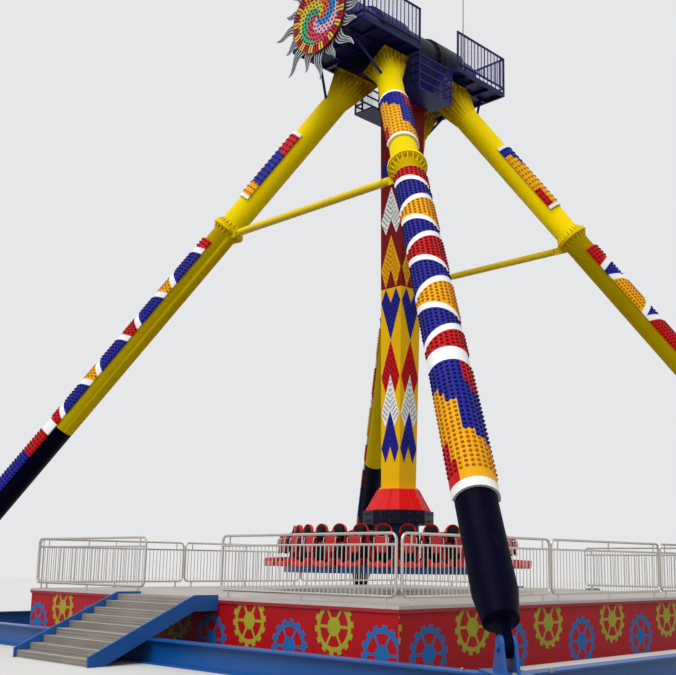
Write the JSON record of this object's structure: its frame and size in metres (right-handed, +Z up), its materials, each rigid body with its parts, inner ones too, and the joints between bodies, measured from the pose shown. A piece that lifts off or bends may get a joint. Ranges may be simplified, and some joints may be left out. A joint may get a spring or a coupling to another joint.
{
  "type": "pendulum ride",
  "caption": "Swinging pendulum amusement ride: two leaning A-frames with light panels, a square arm and a spinning ring of outward-facing seats over a railed deck with stairs.",
  "frame": {"origin": "on the ground, below the middle of the swing axis", "axes": "+X to the right along the long base beams, +Y from the sun disc side to the rear, +Z up; the swing axis is parallel to Y"},
  "size_m": [20.9036, 19.6006, 18.9],
  "materials": {
    "leg_yellow": "gloss",
    "head_navy": "gloss",
    "beam_blue": "gloss",
    "seat_red": "gloss",
    "light_shell_blue": "gloss",
    "arm_gold": "gloss",
    "sun_silver": "satin",
    "stainless_tube": "satin",
    "deck_plate": "matte",
    "fascia_red": "satin"
  },
  "bodies": {
    "base_frame": {"beam_front": "beam_blue", "beam_rear": "beam_blue", "beam_left": "beam_blue", "beam_right": "beam_blue", "foot_front_left": "beam_blue", "foot_front_right": "beam_blue", "foot_rear_left": "beam_blue", "foot_rear_right": "beam_blue", "leg_front_left": "leg_yellow", "leg_front_right": "leg_yellow", "leg_rear_left": "leg_yellow", "leg_rear_right": "leg_yellow", "lights_upper_front_left": "light_shell_blue", "lights_upper_front_right": "light_shell_blue", "lights_upper_rear_left": "light_shell_blue", "lights_upper_rear_right": "light_shell_blue", "lights_lower_front_left": "light_shell_blue", "lights_lower_front_right": "light_shell_blue", "lights_lower_rear_left": "light_shell_blue", "lights_lower_rear_right": "light_shell_blue", "tie_front": "leg_yellow", "tie_rear": "leg_yellow", "head_front": "head_navy", "head_rear": "head_navy", "drive_hood_front": "head_navy", "drive_hood_rear": "head_navy", "platform_front": "head_navy", "platform_rear": "head_navy", "sun_disc": "seat_red", "sun_rays": "sun_silver", "lightning_rod": "stainless_tube", "deck": "deck_plate", "fascia": "fascia_red", "stairs_front": "deck_plate", "stairs_rear": "deck_plate", "railing_left": "stainless_tube", "railing_right": "stainless_tube", "railing_front_left": "stainless_tube", "railing_front_right": "stainless_tube", "railing_rear_left": "stainless_tube", "railing_rear_right": "stainless_tube"},
    "pendulum": {"hub": "head_navy", "arm": "arm_gold", "basket_left": "head_navy", "basket_right": "head_navy", "skirt_cone": "seat_red"},
    "gondola": {"slew_ring": "head_navy", "gondola_drum": "head_navy", "gondola_frame": "beam_blue", "seat_bank_1": "seat_red", "seat_bank_2": "seat_red", "seat_bank_3": "seat_red", "seat_bank_4": "seat_red", "seat_bank_5": "seat_red", "restraints_1": "head_navy", "restraints_2": "head_navy", "restraints_3": "head_navy", "restraints_4": "head_navy", "restraints_5": "head_navy"}
  },
  "joints": [
    {"name": "swing", "type": "hinge", "parent": "base_frame", "child": "pendulum", "pos_m": [0, 0, 16.3], "axis": [0, 1, 0], "range_deg": [-120, 120]},
    {"name": "spin", "type": "hinge", "parent": "pendulum", "child": "gondola", "pos_m": [0, 0, 3.318], "axis": [0, 0, 1], "continuous": true}
  ]
}
